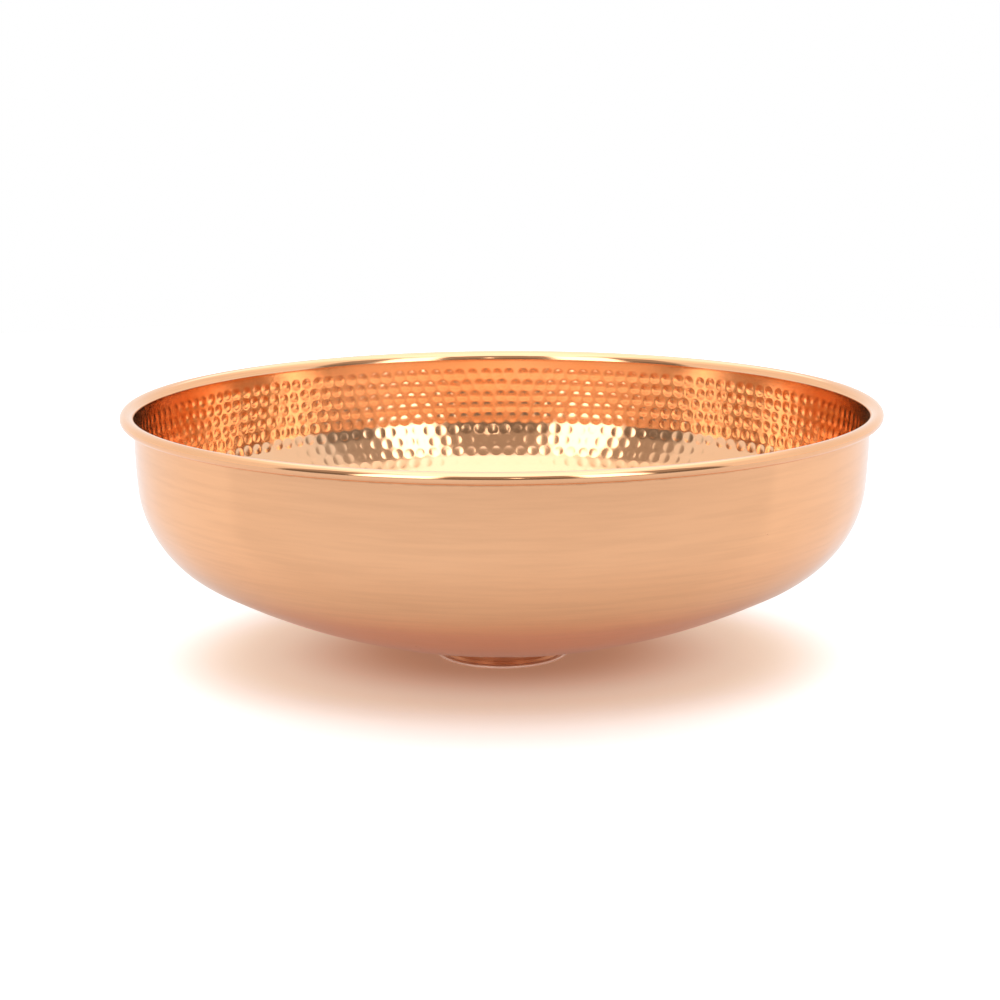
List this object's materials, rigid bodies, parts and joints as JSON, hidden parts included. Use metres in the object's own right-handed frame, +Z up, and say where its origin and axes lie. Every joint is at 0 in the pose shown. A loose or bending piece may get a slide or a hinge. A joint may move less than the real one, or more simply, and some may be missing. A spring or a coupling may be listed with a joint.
{
  "type": "hammered copper bowl",
  "caption": "Round copper wash bowl, dimpled inside and polished smooth outside, with a rolled rim, an outlet cup and a flat foot ring to stand on.",
  "frame": {"origin": "on the bowl's axis at the underside of the foot ring, the face it stands on", "axes": "+Z up along the bowl's axis, out of its mouth; X and Y are alike, because the bowl is round"},
  "size_m": [0.43, 0.43, 0.1476],
  "materials": {
    "bowl_copper": "polished copper, dimpled inside, clear-lacquered",
    "wire_copper": "plain drawn copper wire",
    "cup_copper": "pressed copper, satin",
    "foot_copper": "flat copper, polished edge"
  },
  "bodies": {
    "root": {"bowl_shell": "bowl_copper", "rim_wire": "wire_copper", "outlet_cup": "cup_copper", "foot_ring": "foot_copper"}
  },
  "joints": []
}
